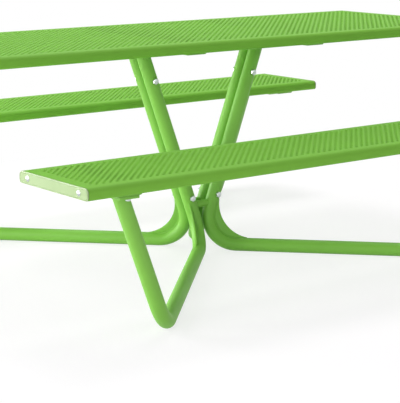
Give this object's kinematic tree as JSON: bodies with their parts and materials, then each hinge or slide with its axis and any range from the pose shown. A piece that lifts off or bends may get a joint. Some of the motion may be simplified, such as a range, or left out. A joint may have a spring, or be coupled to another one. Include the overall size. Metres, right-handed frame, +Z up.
{
  "type": "picnic table with attached backless benches",
  "caption": "Coated steel picnic table with a flat top and backless benches on bent tubes that cross at a middle hub.",
  "frame": {"origin": "on the floor under the middle of the table top", "axes": "+X along the table top and benches, +Y across them away from the front bench, +Z up"},
  "size_m": [1.9816, 1.63, 0.7499],
  "materials": {
    "green_coat": "satin",
    "zinc": "bright zinc"
  },
  "bodies": {
    "root": {"back_hub_spacer": "green_coat", "back_left_bend_web": "green_coat", "back_left_leg_plate": "green_coat", "back_left_leg_plate_bolt": "zinc", "back_left_seat_arm": "green_coat", "back_left_seat_arm_bolt": "zinc", "back_left_seat_rail": "green_coat", "back_left_tube": "green_coat", "back_right_bend_web": "green_coat", "back_right_leg_plate": "green_coat", "back_right_leg_plate_bolt": "zinc", "back_right_seat_arm": "green_coat", "back_right_seat_arm_bolt": "zinc", "back_right_seat_rail": "green_coat", "back_right_tube": "green_coat", "back_seat": "green_coat", "back_seat_end_bolt_left_a": "zinc", "back_seat_end_bolt_left_b": "zinc", "back_seat_end_bolt_right_a": "zinc", "back_seat_end_bolt_right_b": "zinc", "back_seat_end_plate_left": "green_coat", "back_seat_end_plate_right": "green_coat", "front_hub_spacer": "green_coat", "front_left_bend_web": "green_coat", "front_left_leg_plate": "green_coat", "front_left_leg_plate_bolt": "zinc", "front_left_seat_arm": "green_coat", "front_left_seat_arm_bolt": "zinc", "front_left_seat_rail": "green_coat", "front_left_tube": "green_coat", "front_right_bend_web": "green_coat", "front_right_leg_plate": "green_coat", "front_right_leg_plate_bolt": "zinc", "front_right_seat_arm": "green_coat", "front_right_seat_arm_bolt": "zinc", "front_right_seat_rail": "green_coat", "front_right_tube": "green_coat", "front_seat": "green_coat", "front_seat_end_bolt_left_a": "zinc", "front_seat_end_bolt_left_b": "zinc", "front_seat_end_bolt_right_a": "zinc", "front_seat_end_bolt_right_b": "zinc", "front_seat_end_plate_left": "green_coat", "front_seat_end_plate_right": "green_coat", "table_rail_left": "green_coat", "table_rail_right": "green_coat", "table_top": "green_coat", "table_top_end_plate_left": "green_coat", "table_top_end_plate_right": "green_coat", "through_bolt_lower_left": "zinc", "through_bolt_lower_right": "zinc", "through_bolt_upper_left": "zinc", "through_bolt_upper_right": "zinc", "through_nut_lower_left": "zinc", "through_nut_lower_right": "zinc", "through_nut_upper_left": "zinc", "through_nut_upper_right": "zinc"}
  },
  "joints": []
}
